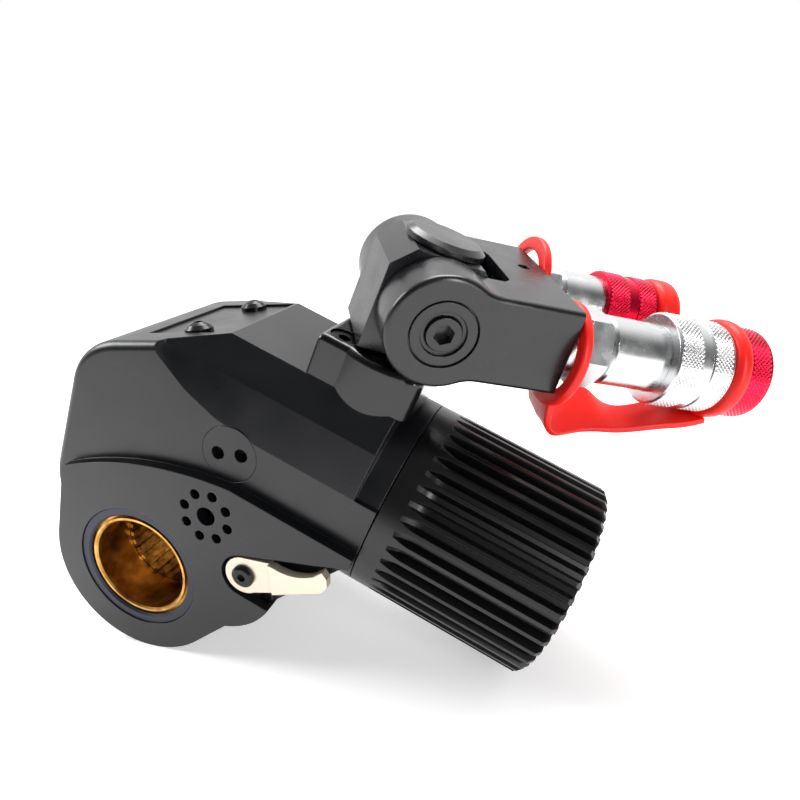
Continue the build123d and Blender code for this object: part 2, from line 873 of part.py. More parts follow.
def pivot_screw():
    """One of the two pivot screws in the hub's sides, on which the yoke turns."""
    head = yoke_half - hub_side
    shank = pivot_r - running
    body = turned([
        (0, 0), (0, shank), (head - 1.8, shank), (head - 1.8, pivot_head_r),
        (head - 0.2, pivot_head_r), (head - 0.2, pivot_boss_r + 1.2),
        (head - 1.2, pivot_boss_r + 1.0), (head - 1.2, pivot_boss_r),
        (head, pivot_boss_r - 0.5), (head, 0),
    ], (0, -hub_side, 0), (0, -1, 0))
    key = RegularPolygon(pivot_key / 2, 6, major_radius=False)
    return body - Plane((0, -yoke_half + 3.5, 0), z_dir=(0, -1, 0)) * extrude(key, amount=6)


# Yoke with the hose couplers, in its own frame


def yoke_outline():
    arm = Rectangle(yoke_rear, 2 * yoke_thick, align=(Align.MIN, Align.CENTER))
    plan = Circle(cheek_r) + arm
    necks = plan.vertices().filter_by(lambda v: 1 < v.X < yoke_rear - 1)
    return fillet(necks, yoke_blend_r)


def yoke():
    body = slab(yoke_outline(), -yoke_half, yoke_half)
    faces = body.edges().filter_by(lambda e: abs(abs(e.center().Y) - yoke_half) < 0.01)
    body = fillet(faces.filter_by(lambda e: e.center().X < yoke_rear - 1), yoke_edge_r)
    reach = slot_end + 2 * cheek_r
    slot = Pos(slot_end - reach / 2, 0) * Rectangle(reach, 2 * slot_half)
    slot = fillet(slot.vertices().group_by(Axis.X)[-1], slot_corner_r)
    body -= extrude(Plane.XY.offset(-cheek_r - 1) * slot, amount=2 * cheek_r + 2)
    body -= rod(swing_r, (0, -slot_half, 0), (0, slot_half, 0))
    body -= rod(pivot_r, (0, -yoke_half - 1, 0), (0, yoke_half + 1, 0))
    return body - rod(grub_r, (grub_x, grub_y, yoke_thick - 4), (grub_x, grub_y, yoke_thick + 1))


def grub_screw():
    body = rod(grub_r - 0.02, (grub_x, grub_y, yoke_thick - 4), (grub_x, grub_y, yoke_thick - 0.6))
    return body - Plane((grub_x, grub_y, yoke_thick - 2.4)) * extrude(RegularPolygon(1.1, 6), amount=3)


def near_axis(shape):
    return Pos(yoke_rear, -coupler_y, 0) * Rot(0, 90, 0) * shape


def far_axis(shape):
    return Pos(yoke_rear, coupler_y, 0) * Rot(0, 90, 0) * shape


def upright(profile):
    return turned(profile, origin, (0, 0, 1))


def adapter():
    """The union screwed into the yoke: a plain neck and a hexagon nut."""
    nut = extrude(RegularPolygon(nut_across / 2, 6, major_radius=False, rotation=30), amount=nut_len)
    flat = nut_across / 2 + 0.3
    point = nut_across * 0.58
    nut &= upright([(0, 0), (0, flat), (1, point), (nut_len - 1, point), (nut_len, flat), (nut_len, 0)])
    return Cylinder(neck_r, neck_len, align=low) + Pos(0, 0, neck_len) * nut


def coupler_body(length):
    """A coupler's turned body, open at its free end for the dust cap's plug."""
    start = neck_len + nut_len
    return upright([
        (start, 0), (start, body_r - 1.2), (start + 1.2, body_r - 1.2), (start + 1.2, body_r - 0.5),
        (start + 2.0, body_r), (length, body_r), (length, socket_r), (length - socket_len, socket_r),
        (length - socket_len, 0),
    ])


def collar(start, length, outer):
    """A knurled screw collar with a plain waist, running on a coupler's body."""
    waist = outer - 0.6
    bore = body_r + running
    first = start + length * 0.42
    second = start + length * 0.62
    end = start + length
    return upright([
        (start, bore), (start, outer - 1), (start + 1, outer), (first, outer), (first + 0.4, waist),
        (second, waist), (second + 0.4, outer), (end - 1, outer), (end, outer - 1), (end, bore),
    ])


def cap_plug(start):
    return [(start - socket_len + 1, 0), (start - socket_len + 1, socket_r - 0.6), (start, socket_r - 0.6)]


def near_end():
    return near_collar_start + near_collar_len


def far_end():
    return far_collar_start + far_collar_len


def near_flange():
    """The rubber rim of the near dust cap, with the plug that closes the coupler."""
    start = near_end() + side_gap
    return upright([
        *cap_plug(start), (start, flange_r - 1), (start + 1, flange_r),
        (start + flange_len - 1, flange_r), (start + flange_len, flange_r - 1), (start + flange_len, 0),
    ])


def near_cap():
    start = near_end() + side_gap + flange_len
    end = start + near_cap_len
    return upright([(start, 0), (start, near_cap_r), (end - 1.2, near_cap_r), (end, near_cap_r - 1.2), (end, 0)])


def far_cap():
    start = far_end() + side_gap
    return upright([
        *cap_plug(start), (start, far_cap_r - 1), (start + 1, far_cap_r),
        (start + far_cap_len - 2.5, far_cap_r), (start + far_cap_len, far_cap_r - 2.5),
        (start + far_cap_len, 0),
    ])


def strap(y, drop, route):
    """A moulded rubber strap: a loop about the coupler's neck and a ribbon out to the cap."""
    x = yoke_rear + loop_gap
    loop = tube(loop_r, loop_bore_r, (x, y, drop), (x + strap_thick, y, drop))
    path = FilletPolyline(*[(along, y, height) for along, height in route], radius=5.0)
    start = Plane(path @ 0, x_dir=(0, 1, 0), z_dir=path % 0)
    return loop + sweep(start * Rectangle(strap_width, strap_thick), path=path)


def near_strap():
    x = yoke_rear + loop_gap + strap_thick / 2
    foot = -loop_drop - loop_r + 1.6
    end = yoke_rear + near_end() + side_gap + flange_len / 2
    rim = -flange_r - strap_thick / 2 - strap_clear
    sag = [(x, -22.5), (x + 8, -26.8), (x + 24, -26.8), (x + 38, -22.6)]
    route = [(x, foot), *sag, (end - 5, rim), (end + 2, rim)]
    return strap(-coupler_y, -loop_drop, route)


def far_strap():
    x = yoke_rear + loop_gap + strap_thick / 2
    foot = -loop_r + 2.4
    end = yoke_rear + far_end() + side_gap + far_cap_len / 2
    rim = -far_cap_r - strap_thick / 2 - strap_clear
    sag = [(x, -18.5), (x + 8, -22.0), (x + 24, -22.4), (x + 38, -19.6)]
    route = [(x, foot), *sag, (end - 5, rim), (end + 1, rim)]
    return strap(coupler_y, 1.0, route)


def on_near(shape):
    return yoke_place * near_axis(shape)


def on_far(shape):
    return yoke_place * far_axis(shape)


def rest_tilt():
    """How far the wrench tips forward until its nose and the barrel's rim both lie on the floor."""
    along = barrel_end - rim_chamfer
    under = cyl_z - barrel_r
    return degrees(atan2(under, along) + asin(nose_r / hypot(along, under)))


def pieces():
    made = {
        "head_housing": head_housing(),
        "shroud_plate": shroud_plate(),
        "shroud_screws": shroud_screws(),
        "bush_near": bush(-1),
        "bush_far": bush(1),
        "bush_ring_near": bush_ring(-1),
        "bush_ring_far": bush_ring(1),
        "ratchet": ratchet(),
        "drive_plate_near": drive_plate(-1),
        "drive_plate_far": drive_plate(1),
        "plate_bridge": pawl_bridge(),
        "drive_pawl": drive_pawl(),
        "pawl_springs": pawl_springs(),
        "piston": piston(),
        "piston_seal": piston_seal(),
        "piston_rod": piston_rod(),
        "rod_pin": rod_pin(),
        "rod_gland": rod_gland(),
        "cylinder_barrel": barrel(),
        "cylinder_end_cap": end_cap(),
        "release_lever": release_lever(),
        "lever_screw": lever_screw(),
        "pawl_shaft": pawl_shaft(),
        "reaction_pawl": reaction_pawl(),
        "detent_plunger": detent_plunger(),
        "pin_plug_near": pin_plug(),
        "pin_plug_far": mirror(pin_plug(), Plane.XZ),
        "swivel_base": swivel_base(),
        "base_screws": base_screws(),
        "swivel_post": post(),
        "post_cap": post_cap(),
        "swivel_hub": hub_place * swivel_hub(),
        "pivot_screw_near": hub_place * pivot_screw(),
        "pivot_screw_far": hub_place * mirror(pivot_screw(), Plane.XZ),
        "yoke": yoke_place * yoke(),
        "grub_screw": yoke_place * grub_screw(),
        "adapter_near": on_near(adapter()),
        "adapter_far": on_far(adapter()),
        "coupler_body_near": on_near(coupler_body(near_end())),
        "coupler_body_far": on_far(coupler_body(far_end())),
        "coupler_collar_near": on_near(collar(near_collar_start, near_collar_len, near_collar_r)),
        "coupler_collar_far": on_far(collar(far_collar_start, far_collar_len, far_collar_r)),
        "cap_flange_near": on_near(near_flange()),
        "cap_near": on_near(near_cap()),
        "cap_far": on_far(far_cap()),
        "cap_strap_near": yoke_place * near_strap(),
        "cap_strap_far": yoke_place * far_strap(),
    }
    return made


os.makedirs("parts", exist_ok=True)
for name, shape in pieces().items():
    export_step(Rot(0, rest_tilt(), 0) * shape, f"parts/{name}.step")
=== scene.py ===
import json
from math import asin, atan2, cos, hypot, pi, radians, sin

import bmesh
import bpy
from mathutils import Matrix, Vector


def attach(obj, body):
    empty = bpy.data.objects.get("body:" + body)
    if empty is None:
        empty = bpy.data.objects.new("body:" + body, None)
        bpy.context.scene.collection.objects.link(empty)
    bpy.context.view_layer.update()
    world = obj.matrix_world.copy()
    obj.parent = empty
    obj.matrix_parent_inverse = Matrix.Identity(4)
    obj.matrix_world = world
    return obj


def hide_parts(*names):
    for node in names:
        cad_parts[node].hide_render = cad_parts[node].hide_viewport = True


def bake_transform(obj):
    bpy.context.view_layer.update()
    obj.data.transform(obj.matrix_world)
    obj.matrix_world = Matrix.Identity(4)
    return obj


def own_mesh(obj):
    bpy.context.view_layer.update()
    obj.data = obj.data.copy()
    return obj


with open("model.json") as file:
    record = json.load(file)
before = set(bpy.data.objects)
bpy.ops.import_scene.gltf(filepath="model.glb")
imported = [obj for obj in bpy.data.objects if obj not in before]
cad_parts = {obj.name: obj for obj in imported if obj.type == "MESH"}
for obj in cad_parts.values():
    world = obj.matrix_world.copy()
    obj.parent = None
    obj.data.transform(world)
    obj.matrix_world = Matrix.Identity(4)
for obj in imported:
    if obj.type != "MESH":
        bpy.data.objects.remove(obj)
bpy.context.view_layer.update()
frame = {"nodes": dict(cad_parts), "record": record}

# Sizes are millimetres, in the wrench's own frame: origin on the drive axis at mid width,
# X along the cylinder to its free end, Z up to the swivel. Pieces are laid to rest at the end.
mm = 0.001
nose_r = 33.0
cyl_z = 55.0
barrel_r = 33.0
barrel_reach = 126.0

# Swivel and the yoke that carries the hose couplers
post_x = 47.5
pivot_z = 121.2
swivel_turn = 30.1
yoke_pitch = 7.1
yoke_rear = 37.8
coupler_y = 19.4

# Hose couplers, along each one's axis from the yoke's rear face
body_r = 10.4
near_collar = {"start": 32.0, "length": 19.6, "radius": 14.4}
far_collar = {"start": 29.0, "length": 19.6, "radius": 12.8}
flange_start = 51.9
flange_len = 5.4
flange_r = 15.6
flange_round = 2.2
near_cap_len = 8.4
near_cap_r = 14.4
far_cap_start = 48.9
far_cap_len = 9.0
far_cap_r = 13.6
far_cap_round = 2.5
round_steps = 4
axis_r = 0.02
plug_r = 6.4
plug_len = 8.0
knurl_pitch = 1.35
knurl_height = 0.28
knurl_margin = 0.7
knurl_tolerance = 0.3
collar_running = 0.05
collar_lip = 0.9
waist_start = 0.42
waist_end = 0.62
waist_drop = 0.7

# Finishes
relief_depth = 0.05
edge_samples = 4

# Dust cap straps. A ribbon's stations are its middle in the yoke's frame and how far its
# far edge is raised, in degrees, as it twists on the way from the ring to the cap.
ring_thick = 2.8
ring_r = 16.0
ring_bore_r = 11.6
ring_x = 39.5
ring_edge = 0.7
ring_soft = 0.2
near_ring_hang = (-3.4, 3.0)
far_ring_hang = (3.3, 4.0)
ribbon_thick = 2.3
ribbon_edge = 0.6
near_ribbon = {
    "width": 16.5,
    "stations": [
        (39.5, -19.4, -14.6, 0), (39.6, -19.4, -19.4, 0), (41.2, -19.2, -24.2, 6),
        (45.0, -18.6, -25.6, 18), (50.0, -17.6, -23.6, 30), (55.5, -17.0, -21.8, 34),
        (61.0, -17.0, -22.0, 20), (66.5, -17.4, -23.6, 2), (73.0, -18.4, -22.8, -10),
        (80.0, -19.2, -19.9, -8), (86.0, -19.4, -17.9, -2), (90.5, -19.4, -15.9, 0),
        (93.4, -19.4, -14.6, 0),
    ],
}
far_ribbon = {
    "width": 9.0,
    "stations": [
        (39.5, 19.4, -11.6, 0), (39.6, 19.4, -15.6, 0), (41.2, 19.4, -19.8, 0),
        (46.0, 19.4, -22.0, 0), (54.0, 19.4, -22.4, 0), (62.0, 19.4, -21.6, 0),
        (70.0, 19.4, -19.6, 0), (78.0, 19.4, -17.0, 0), (84.5, 19.4, -14.9, 0),
        (88.0, 19.4, -13.8, 0), (90.8, 19.4, -12.6, 0),
    ],
}

# Drive pawl springs, on the crank that leans by rest_lean
pin_x = 16.3
spring_y = 4.5
spring_r = 2.2
spring_wire = 0.7
spring_foot = 33.4
spring_head = 41.1
spring_middle = 1.5

# Camera, at the photograph's viewing angle
camera_place = (149.99, -186.43, 126.54)
camera_turn = (70.079, 2.071, 18.356)
camera_lens = 29.0

# Studio, in metres: a card under the wrench and the point that the lamps look at
card_size = 6.0
lamps_aim = (0.07, 0, 0.05)


def resting():
    """The wrench tipped forward, so that its nose and the cylinder's rim lie on the floor."""
    under = cyl_z - barrel_r
    lean = atan2(under, barrel_reach) + asin(nose_r / hypot(barrel_reach, under))
    return Matrix.Scale(mm, 4) @ Matrix.Rotation(lean, 4, "Y")


def yoke_frame():
    place = Matrix.Translation((post_x, 0, pivot_z))
    turn = Matrix.Rotation(radians(swivel_turn), 4, "Z")
    return resting() @ place @ turn @ Matrix.Rotation(radians(-yoke_pitch), 4, "Y")


def coupler_frame(side):
    """A coupler's own frame, with Z along its axis away from the yoke."""
    place = Matrix.Translation((yoke_rear, side * coupler_y, 0))
    return yoke_frame() @ place @ Matrix.Rotation(radians(90), 4, "Y")


def crank_frame():
    """The crank's frame, with Z from the drive axis to the rod pin."""
    return resting() @ Matrix.Rotation(atan2(pin_x, cyl_z), 4, "Y")


# Modelling helpers


def start_clean():
    """Leave edit mode and select nothing, before a new primitive is added."""
    if bpy.context.object and bpy.context.object.mode != "OBJECT":
        bpy.ops.object.mode_set(mode="OBJECT")
    bpy.ops.object.select_all(action="DESELECT")


def edit_mesh(piece):
    bpy.context.view_layer.objects.active = piece
    bpy.ops.object.mode_set(mode="EDIT")
    return bmesh.from_edit_mesh(piece.data)


def show_selection(piece, mesh):
    mesh.select_flush_mode()
    bmesh.update_edit_mesh(piece.data)


def select_faces(piece, wanted):
    """In edit mode, leave only the faces selected that a test picks."""
    mesh = bmesh.from_edit_mesh(piece.data)
    for part in (mesh.verts, mesh.edges, mesh.faces):
        for element in part:
            element.select = False
    for face in mesh.faces:
        if wanted(face):
            face.select_set(True)
    bmesh.update_edit_mesh(piece.data)


def turned(name, profile, sides=96):
    """Turn a closed body on the Z axis from (height, radius) points, as on a lathe."""
    start_clean()
    height, radius = profile[0]
    bpy.ops.mesh.primitive_circle_add(vertices=sides, radius=radius, location=(0, 0, height))
    piece = bpy.context.object
    piece.name = name
    bpy.ops.object.transform_apply(location=True)
    mesh = edit_mesh(piece)
    for element in mesh.edges:
        element.select_set(True)
    show_selection(piece, mesh)
    for (z, r), (next_z, next_r) in zip(profile, profile[1:]):
        bpy.ops.mesh.extrude_edges_move(TRANSFORM_OT_translate={"value": (0, 0, next_z - z)})
        scale = next_r / r
        bpy.ops.transform.resize(value=(scale, scale, 1), center_override=(0, 0, next_z))
    bpy.ops.mesh.select_all(action="SELECT")
    bpy.ops.mesh.remove_doubles(threshold=0.0005)
    bpy.ops.mesh.normals_make_consistent(inside=False)
    bpy.ops.object.mode_set(mode="OBJECT")
    return piece


def knurl(piece, low, high, radius):
    """Raise a diamond knurl on the rows of square faces between two heights."""
    mesh = edit_mesh(piece)
    old = len(mesh.verts)

    def in_band(face):
        middle = face.calc_center_median()
        round_wall = abs(hypot(middle.x, middle.y) - radius) < knurl_tolerance
        return low < middle.z < high and round_wall and abs(face.normal.z) < 0.1

    select_faces(piece, in_band)
    bpy.ops.mesh.poke()
    mesh = bmesh.from_edit_mesh(piece.data)
    mesh.verts.index_update()
    band = [face for face in mesh.faces if in_band(face)]
    seams = set()
    for face in band:
        for edge in face.edges:
            first, second = (corner.index for corner in edge.verts)
            if first < old and second < old and all(other in band for other in edge.link_faces):
                seams.add(edge)
    bpy.ops.mesh.select_all(action="DESELECT")
    bpy.ops.mesh.select_mode(type="EDGE")
    mesh = bmesh.from_edit_mesh(piece.data)
    for edge in seams:
        edge.select_set(True)
    bmesh.update_edit_mesh(piece.data)
    bpy.ops.mesh.dissolve_edges(use_verts=False)
    bpy.ops.mesh.select_mode(type="FACE")
    select_faces(piece, lambda face: in_band(face) and len(face.verts) == 4)
    bpy.ops.mesh.poke(offset=knurl_height)
    bpy.ops.object.mode_set(mode="OBJECT")
    return piece


def rows(low, high, radius):
    """Profile points at the knurl's pitch, so that a band is rows of square faces."""
    count = max(2, round((high - low) / knurl_pitch))
    return [(low + (high - low) * n / count, radius) for n in range(count + 1)]


def smooth(piece, angle=30.0):
    start_clean()
    piece.select_set(True)
    bpy.context.view_layer.objects.active = piece
    bpy.ops.object.shade_smooth_by_angle(angle=radians(angle))
    return piece


def lay(piece, place):
    """Put a piece's place into its mesh, with its object left at the origin."""
    piece.data.transform(place)
    piece.matrix_world = Matrix.Identity(4)
    piece.data.update()
    return piece


def finish_piece(piece, body, material, replaced=()):
    piece.data.materials.clear()
    piece.data.materials.append(material)
    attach(piece, body)
    if replaced:
        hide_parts(*replaced)
    return piece


# Material helpers


def colour(code):
    """An sRGB hex colour as linear values."""
    channels = [int(code[n:n + 2], 16) / 255 for n in (1, 3, 5)]
    linear = [c / 12.92 if c <= 0.04045 else ((c + 0.055) / 1.055) ** 2.4 for c in channels]
    return (*linear, 1.0)


def per_mm(size):
    """A pattern's scale, for features of a size in millimetres on coordinates in metres."""
    return 1 / (size * mm)


def new_material(name):
    material = bpy.data.materials.new(name)
    material.use_nodes = True
    material.node_tree.nodes.clear()
    return material


def add_node(material, kind, inputs=None, **settings):
    """Add a node. Each input is a plain value or another node's output."""
    made = material.node_tree.nodes.new(kind)
    for key, value in settings.items():
        setattr(made, key, value)
    for key, value in (inputs or {}).items():
        if isinstance(value, bpy.types.NodeSocket):
            material.node_tree.links.new(value, made.inputs[key])
        else:
            made.inputs[key].default_value = value
    return made


def shade(material, inputs):
    """Close a material with its surface shader."""
    surface = add_node(material, "ShaderNodeBsdfPrincipled", inputs)
    add_node(material, "ShaderNodeOutputMaterial", {"Surface": surface.outputs["BSDF"]})
    return material


def on_piece(material):
    """Coordinates fixed to the piece, in metres."""
    return add_node(material, "ShaderNodeTexCoord").outputs["Object"]


def stretched(material, place, scale):
    """Coordinates drawn out along an axis, for brushed or turned lines."""
    return add_node(material, "ShaderNodeMapping", {"Vector": place, "Scale": scale}).outputs["Vector"]


def noise(material, place, size, detail):
    """Noise with features of a size in millimetres."""
    inputs = {"Vector": place, "Scale": per_mm(size), "Detail": detail}
    return add_node(material, "ShaderNodeTexNoise", inputs).outputs["Fac"]


def spread(material, cloud, low, high):
    """The middle of a noise spread between two values of roughness."""
    return add_node(material, "ShaderNodeMapRange", {
        "Value": cloud, "From Min": 0.3, "From Max": 0.7, "To Min": low, "To Max": high,
    }).outputs["Result"]


def two_tones(material, cloud, dark, light):
    """A noise as colour, from a dark to a light (position, colour)."""
    ramp = add_node(material, "ShaderNodeValToRGB", {"Fac": cloud})
    for element, (position, code) in zip(ramp.color_ramp.elements, (dark, light)):
        element.position = position
        element.color = colour(code)
    return ramp.outputs["Color"]


def worn_edge(material, radius):
    """Normals that round each edge by a radius in millimetres, so that it catches the light."""
    made = add_node(material, "ShaderNodeBevel", {"Radius": radius * mm}, samples=edge_samples)
    return made.outputs["Normal"]


def relief(material, height, strength, edge=None):
    """A very shallow relief from a noise, over the rounded edges where there are any."""
    inputs = {"Height": height, "Strength": strength, "Distance": relief_depth * mm}
    if edge:
        inputs["Normal"] = edge
    return add_node(material, "ShaderNodeBump", inputs).outputs["Normal"]


# Materials


def blasted_black_steel():
    """Forged steel, bead blasted and hot blackened: a soft sheen over a very fine grain."""
    m = new_material("blasted_black_steel")
    place = on_piece(m)
    grain = noise(m, place, 0.5, 3.0)
    cloud = noise(m, place, 14, 4.0)
    sheen = spread(m, cloud, 0.27, 0.36)
    edge = worn_edge(m, 0.5)
    bump = relief(m, grain, 0.08, edge)
    return shade(m, {
        "Base Color": colour("#0D0E12"), "Specular IOR Level": 0.5, "Roughness": sheen,
        "Normal": bump,
    })


def machined_black_steel():
    """Milled ribs under black oxide: darker, with a fine grain."""
    m = new_material("machined_black_steel")
    place = on_piece(m)
    grain = noise(m, place, 0.6, 3.0)
    edge = worn_edge(m, 0.25)
    bump = relief(m, grain, 0.06, edge)
    return shade(m, {
        "Base Color": colour("#0A0A0C"), "Specular IOR Level": 0.5, "Roughness": 0.3,
        "Normal": bump,
    })


def polished_black_oxide():
    """Ground steel under black oxide, oiled: it mirrors the lamps softly, with a cool tint."""
    m = new_material("polished_black_oxide")
    place = on_piece(m)
    cloud = noise(m, place, 9, 4.0)
    sheen = spread(m, cloud, 0.22, 0.32)
    edge = worn_edge(m, 0.35)
    return shade(m, {
        "Base Color": colour("#0E0F13"), "Specular IOR Level": 0.6, "Roughness": sheen,
        "Normal": edge,
    })


def gloss_black_enamel():
    """Black enamel on the swivel base: a clear coat with sharp reflections."""
    m = new_material("gloss_black_enamel")
    edge = worn_edge(m, 0.5)
    return shade(m, {
        "Base Color": colour("#08080A"), "Specular IOR Level": 0.5, "Roughness": 0.22,
        "Normal": edge, "Coat Weight": 0.15, "Coat Roughness": 0.08,
    })


def black_screw_steel():
    """Quenched screws with black oxide: dark, with a tight highlight."""
    m = new_material("black_screw_steel")
    edge = worn_edge(m, 0.2)
    return shade(m, {
        "Base Color": colour("#0E0E10"), "Specular IOR Level": 0.35, "Roughness": 0.24,
        "Normal": edge,
    })


def bored_bronze():
    """Bearing bronze, bored and oiled: the bronze's own brown, clouded with lighter patches of painted
    highlight, and fine turning lines.
    """
    m = new_material("bored_bronze")
    place = on_piece(m)
    lines = stretched(m, place, (0.02, 1.0, 0.02))
    turning = noise(m, lines, 0.4, 2.0)
    cloud = noise(m, place, 6, 5.0)
    # The dark tone is the bronze's own brown. The light tone is painted highlight, scattered in random
    # patches.
    tone = two_tones(m, cloud, (0.35, "#9C6A2C"), (0.68, "#F0BC66"))
    bump = relief(m, turning, 0.15)
    return shade(m, {"Base Color": tone, "Metallic": 1.0, "Roughness": 0.3, "Normal": bump})


def phosphated_ring_steel():
    """A phosphated retaining ring: dull blue grey."""
    m = new_material("phosphated_ring_steel")
    edge = worn_edge(m, 0.3)
    return shade(m, {
        "Base Color": colour("#3A3C46"), "Metallic": 0.7, "Roughness": 0.42, "Normal": edge,
    })


def satin_nickel():
    """The lever's electroless nickel: a warm pale satin with faint brushing."""
    m = new_material("satin_nickel")
    place = on_piece(m)
    brush = stretched(m, place, (1.0, 1.0, 0.08))
    lines = noise(m, brush, 0.8, 3.0)
    edge = worn_edge(m, 0.3)
    bump = relief(m, lines, 0.08, edge)
    return shade(m, {
        "Base Color": colour("#E6D9C6"), "Metallic": 0.75, "Roughness": 0.38, "Normal": bump,
    })


def bright_zinc():
    """Zinc plated steel of the couplers: bright, with soft clouding."""
    m = new_material("bright_zinc")
    place = on_piece(m)
    cloud = noise(m, place, 5, 4.0)
    sheen = spread(m, cloud, 0.2, 0.32)
    edge = worn_edge(m, 0.25)
    return shade(m, {
        "Base Color": colour("#DADBDC"), "Metallic": 1.0, "Roughness": sheen, "Normal": edge,
    })


def crimson_anodise():
    """Anodised aluminium dyed crimson: metal under a coloured film."""
    m = new_material("crimson_anodise")
    edge = worn_edge(m, 0.25)
    return shade(m, {
        "Base Color": colour("#E0123C"), "Metallic": 0.85, "Roughness": 0.27, "Normal": edge,
    })


def moulded_red_rubber():
    """Soft moulded rubber: saturated orange red with a broad soft highlight."""
    m = new_material("moulded_red_rubber")
    place = on_piece(m)
    grain = noise(m, place, 0.7, 2.0)
    bump = relief(m, grain, 0.06)
    return shade(m, {
        "Base Color": colour("#F01A0E"), "Roughness": 0.42, "Specular IOR Level": 0.4, "Normal": bump,
    })


def ground_steel():
    """Hardened and ground steel of the drive train: grey with a faint grain."""
    m = new_material("ground_steel")
    place = on_piece(m)
    cloud = noise(m, place, 3, 4.0)
    sheen = spread(m, cloud, 0.28, 0.4)
    return shade(m, {"Base Color": colour("#8C8B88"), "Metallic": 1.0, "Roughness": sheen})


def spline_steel_painted_bronze_reflection():
    """The drive spline's oiled steel, coloured with a painted reflection: the gold of the bronze around it
    is painted into its colour.
    """
    m = new_material("spline_steel_painted_bronze_reflection")
    place = on_piece(m)
    cloud = noise(m, place, 3, 4.0)
    # Painted reflection: both tones are the bronze's gold, painted onto grey steel.
    tone = two_tones(m, cloud, (0.35, "#6E5430"), (0.65, "#C9A86A"))
    return shade(m, {"Base Color": tone, "Metallic": 1.0, "Roughness": 0.3})


def nitrile_seal():
    """The piston's nitrile ring: matt black."""
    m = new_material("nitrile_seal")
    place = on_piece(m)
    grain = noise(m, place, 0.8, 2.0)
    bump = relief(m, grain, 0.1)
    return shade(m, {"Base Color": colour("#0C0C0C"), "Roughness": 0.7, "Normal": bump})


def white_paper():
    """The floor: white card that the camera sees as white, with the wrench's shadow on it."""
    m = new_material("white_paper")
    card = add_node(m, "ShaderNodeBsdfDiffuse", {"Color": colour("#F4F4F4")})
    seen = add_node(m, "ShaderNodeLightPath")
    direct = add_node(m, "ShaderNodeMath", {
        0: seen.outputs["Is Camera Ray"], 1: seen.outputs["Is Glossy Ray"],
    }, operation="ADD")
    lift = add_node(m, "ShaderNodeMath", {0: direct.outputs["Value"], 1: 0.45}, operation="MULTIPLY")
    glow = add_node(m, "ShaderNodeEmission", {"Strength": lift.outputs["Value"]})
    both = add_node(m, "ShaderNodeAddShader", {0: card.outputs["BSDF"], 1: glow.outputs["Emission"]})
    add_node(m, "ShaderNodeOutputMaterial", {"Surface": both.outputs["Shader"]})
    return m


# Hose couplers


def screw_collar(name, collar, side, body, material, node):
    """A screw collar with a knurl at each end and a plain waist between them."""
    start, length, radius = collar["start"], collar["length"], collar["radius"]
    bore = body_r + collar_running
    first = start + length * waist_start
    second = start + length * waist_end
    end = start + length
    root = radius - knurl_height
    profile = [(start, bore), (start, radius - collar_lip), (start + 0.5, root)]
    profile += rows(start + knurl_margin, first, root)
    profile += [(first + 0.3, radius - waist_drop), (second - 0.3, radius - waist_drop)]
    profile += rows(second, end - knurl_margin, root)
    profile += [(end - 0.5, root), (end, radius - collar_lip), (end, bore), (start, bore)]
    sides = round(2 * pi * radius / knurl_pitch)
    piece = turned(name, profile, sides)
    knurl(piece, start + knurl_margin, first, root)
    knurl(piece, second, end - knurl_margin, root)
    smooth(piece, 20)
    lay(piece, coupler_frame(side))
    return finish_piece(piece, body, material, (node,))


def near_dust_cap(material):
    """The crimson grip behind the near flange: knurled all round with a rounded end."""
    start = flange_start + flange_len
    end = start + near_cap_len
    root = near_cap_r - knurl_height
    profile = [(start, axis_r), (start, root)]
    profile += rows(start + 0.3, end - 1.2, root)
    profile += [(end - 0.8, root), (end - 0.25, root - 0.35), (end, root - 1.0), (end, axis_r)]
    piece = turned("near_dust_cap_grip", profile, round(2 * pi * root / knurl_pitch))
    knurl(piece, start + 0.3, end - 1.2, root)
    smooth(piece, 20)
    lay(piece, coupler_frame(-1))
    return finish_piece(piece, "cap_near", material, ("cap_near",))


def rounded_wheel(name, start, length, radius, edge, side):
    """A turned rubber rim with its plug, its outer edges rounded in a few steps."""
    profile = [(start - plug_len, axis_r), (start - plug_len, plug_r), (start, plug_r)]
    for step in range(round_steps + 1):
        angle = radians(90 * step / round_steps)
        profile.append((start + edge * (1 - cos(angle)) * 0.999, radius - edge + edge * sin(angle)))
    for step in range(round_steps + 1):
        angle = radians(90 - 90 * step / round_steps)
        profile.append((start + length - edge * (1 - cos(angle)), radius - edge + edge * sin(angle)))
    profile.append((start + length, axis_r))
    piece = turned(name, profile, 96)
    smooth(piece, 40)
    return lay(piece, coupler_frame(side))


def dust_caps(rubber):
    near = rounded_wheel("near_cap_flange", flange_start, flange_len, flange_r, flange_round, -1)
    finish_piece(near, "cap_near", rubber, ("cap_flange_near",))
    far = rounded_wheel("far_dust_cap", far_cap_start, far_cap_len, far_cap_r, far_cap_round, 1)
    finish_piece(far, "cap_far", rubber, ("cap_far",))


